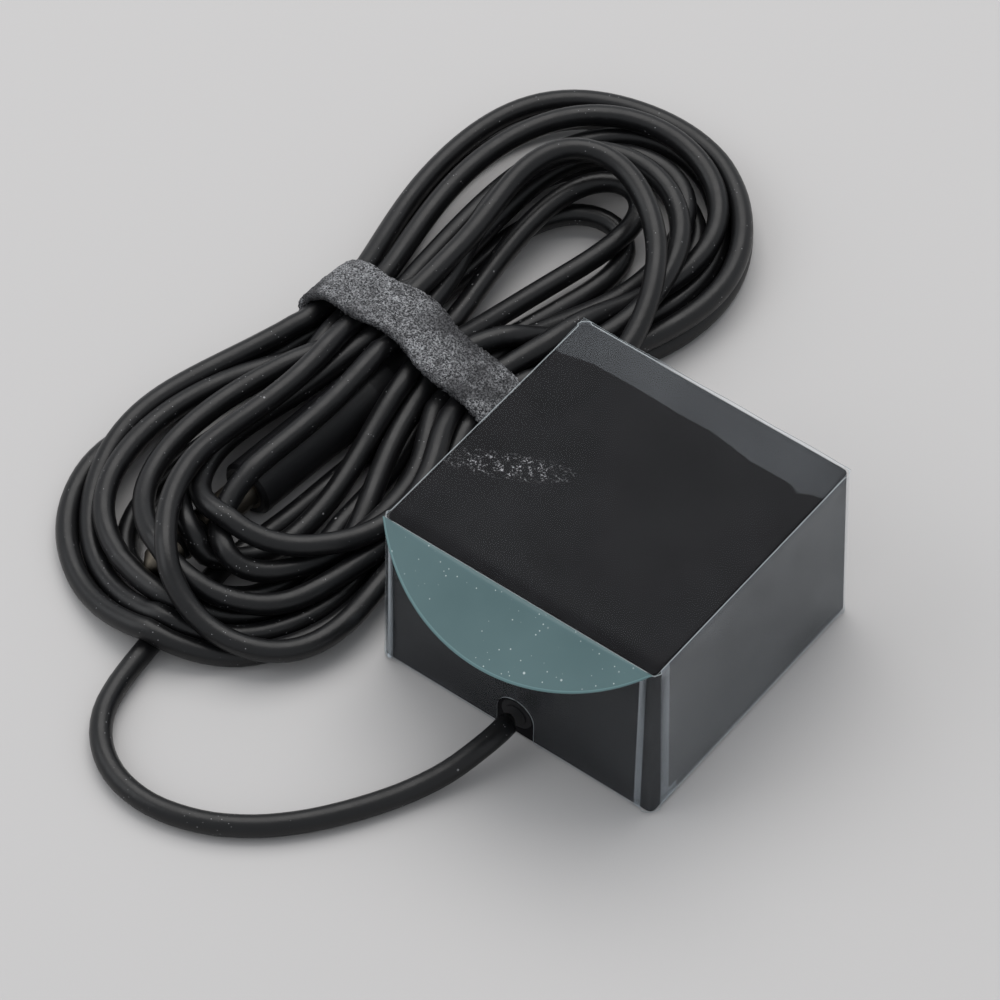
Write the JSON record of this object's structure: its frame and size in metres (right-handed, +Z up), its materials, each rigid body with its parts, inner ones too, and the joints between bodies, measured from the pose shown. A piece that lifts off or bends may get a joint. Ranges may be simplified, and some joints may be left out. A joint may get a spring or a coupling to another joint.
{
  "type": "infrared extender cable",
  "caption": "Small square infrared emitter box in peel-off films with a pull tab, on a thin lead that is wound into a tied hank and ends in a round audio-type plug.",
  "frame": {"origin": "middle of the emitter box's footprint, at the underside of its foot pad, on the table", "axes": "+Z up; the lead leaves the box on its -Y side; +X runs along that side, and the hank lies on the -X side"},
  "size_m": [0.0702, 0.1012, 0.0213],
  "materials": {
    "housing": "satin black",
    "base": "moulded black",
    "screw_steel": "plain",
    "pad_rubber": "matt",
    "board_green": "solder mask",
    "emitter_resin": "dark clear resin",
    "chip_ceramic": "matt",
    "solder": "bright",
    "bush_rubber": "matt",
    "lead_jacket": "satin black",
    "core_insulation": "plain",
    "clear_film": "clear film",
    "tab_film": "clear teal film",
    "tie_fabric": "hook and loop, dusty",
    "plug_mould": "satin black",
    "plug_inner": "plain",
    "plug_metal": "pale gold plate",
    "plug_black": "plain"
  },
  "bodies": {
    "box": {"top_shell": "housing", "base_plate": "base", "base_screws": "screw_steel", "foot_pad": "pad_rubber", "circuit_board": "board_green", "top_emitter": "emitter_resin", "side_emitters": "emitter_resin", "resistors": "chip_ceramic", "solder_joints": "solder", "cable_bush": "bush_rubber", "inner_cable": "lead_jacket", "core_wires": "core_insulation", "top_film": "clear_film", "side_film": "clear_film", "cable_lead": "lead_jacket", "cable_hank": "lead_jacket", "hank_tie": "tie_fabric", "plug_body": "plug_mould", "plug_relief": "plug_mould", "plug_premould": "plug_inner", "plug_wires": "lead_jacket", "plug_sleeve": "plug_metal", "plug_ring": "plug_metal", "plug_tip": "plug_metal", "plug_insulators": "plug_black", "plug_core": "plug_metal"},
    "tab": {"pull_tab": "tab_film"}
  },
  "joints": [
    {"name": "pull_tab_fold", "type": "hinge", "parent": "box", "child": "tab", "pos_m": [0, -0.0161, 0.0212], "axis": [-1, 0, 0], "range_deg": [-46, 205], "stiffness_Nm_per_rad": 0.0001}
  ]
}
